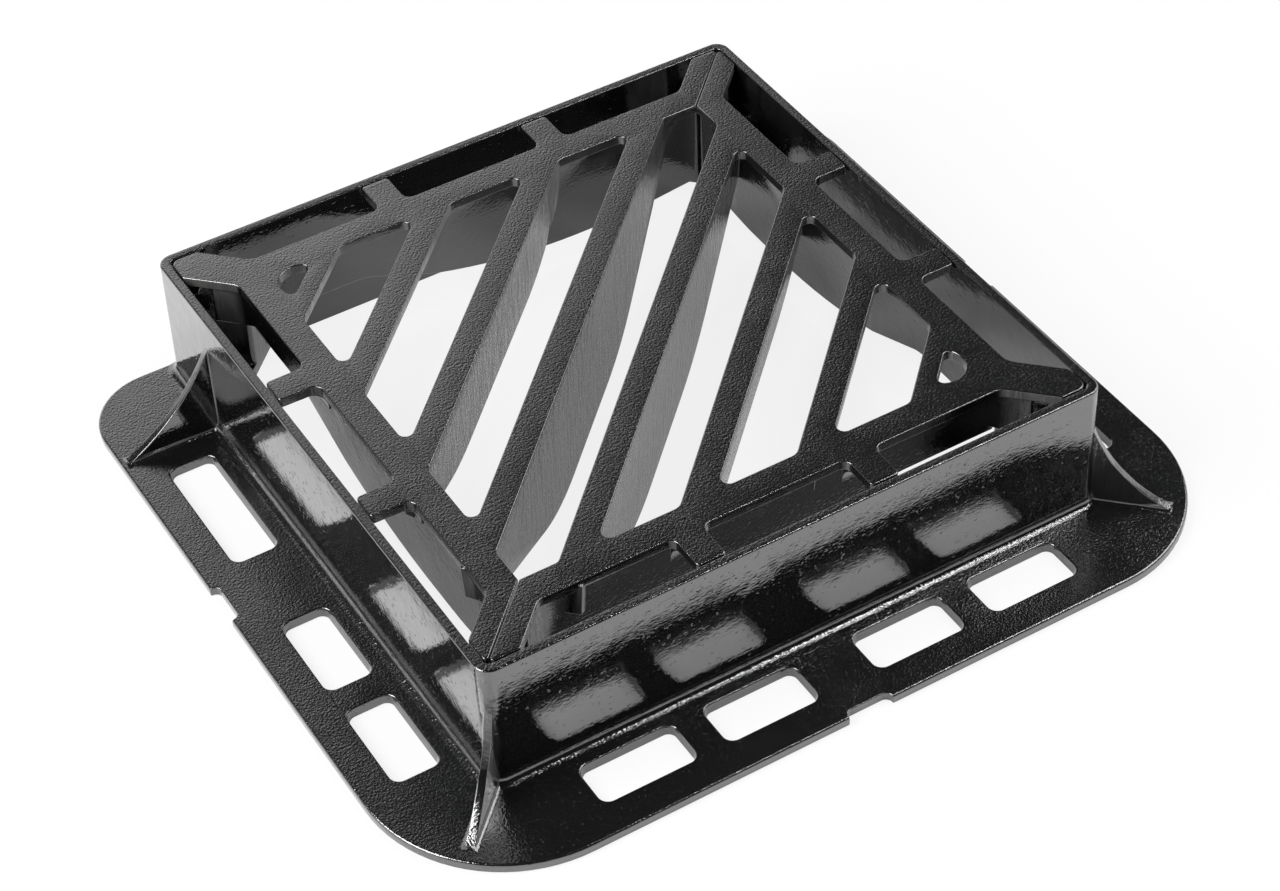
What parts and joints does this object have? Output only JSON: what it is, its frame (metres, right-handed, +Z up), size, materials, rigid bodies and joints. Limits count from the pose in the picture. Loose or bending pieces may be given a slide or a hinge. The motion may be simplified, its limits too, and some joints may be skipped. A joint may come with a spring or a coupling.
{
  "type": "gully grate",
  "caption": "Square cast iron gully top with a deep flanged frame and loose triangular grates that meet along one diagonal.",
  "frame": {"origin": "middle of the flange's rectangle, on its underside", "axes": "+X along the kerb, +Y towards the kerb, +Z up out of the road"},
  "size_m": [0.5812, 0.515, 0.1],
  "materials": {
    "black_iron": "glossy black bitumen paint over a sand-cast surface"
  },
  "bodies": {
    "root": {"frame": "black_iron", "left_grate": "black_iron", "right_grate": "black_iron"}
  },
  "joints": []
}
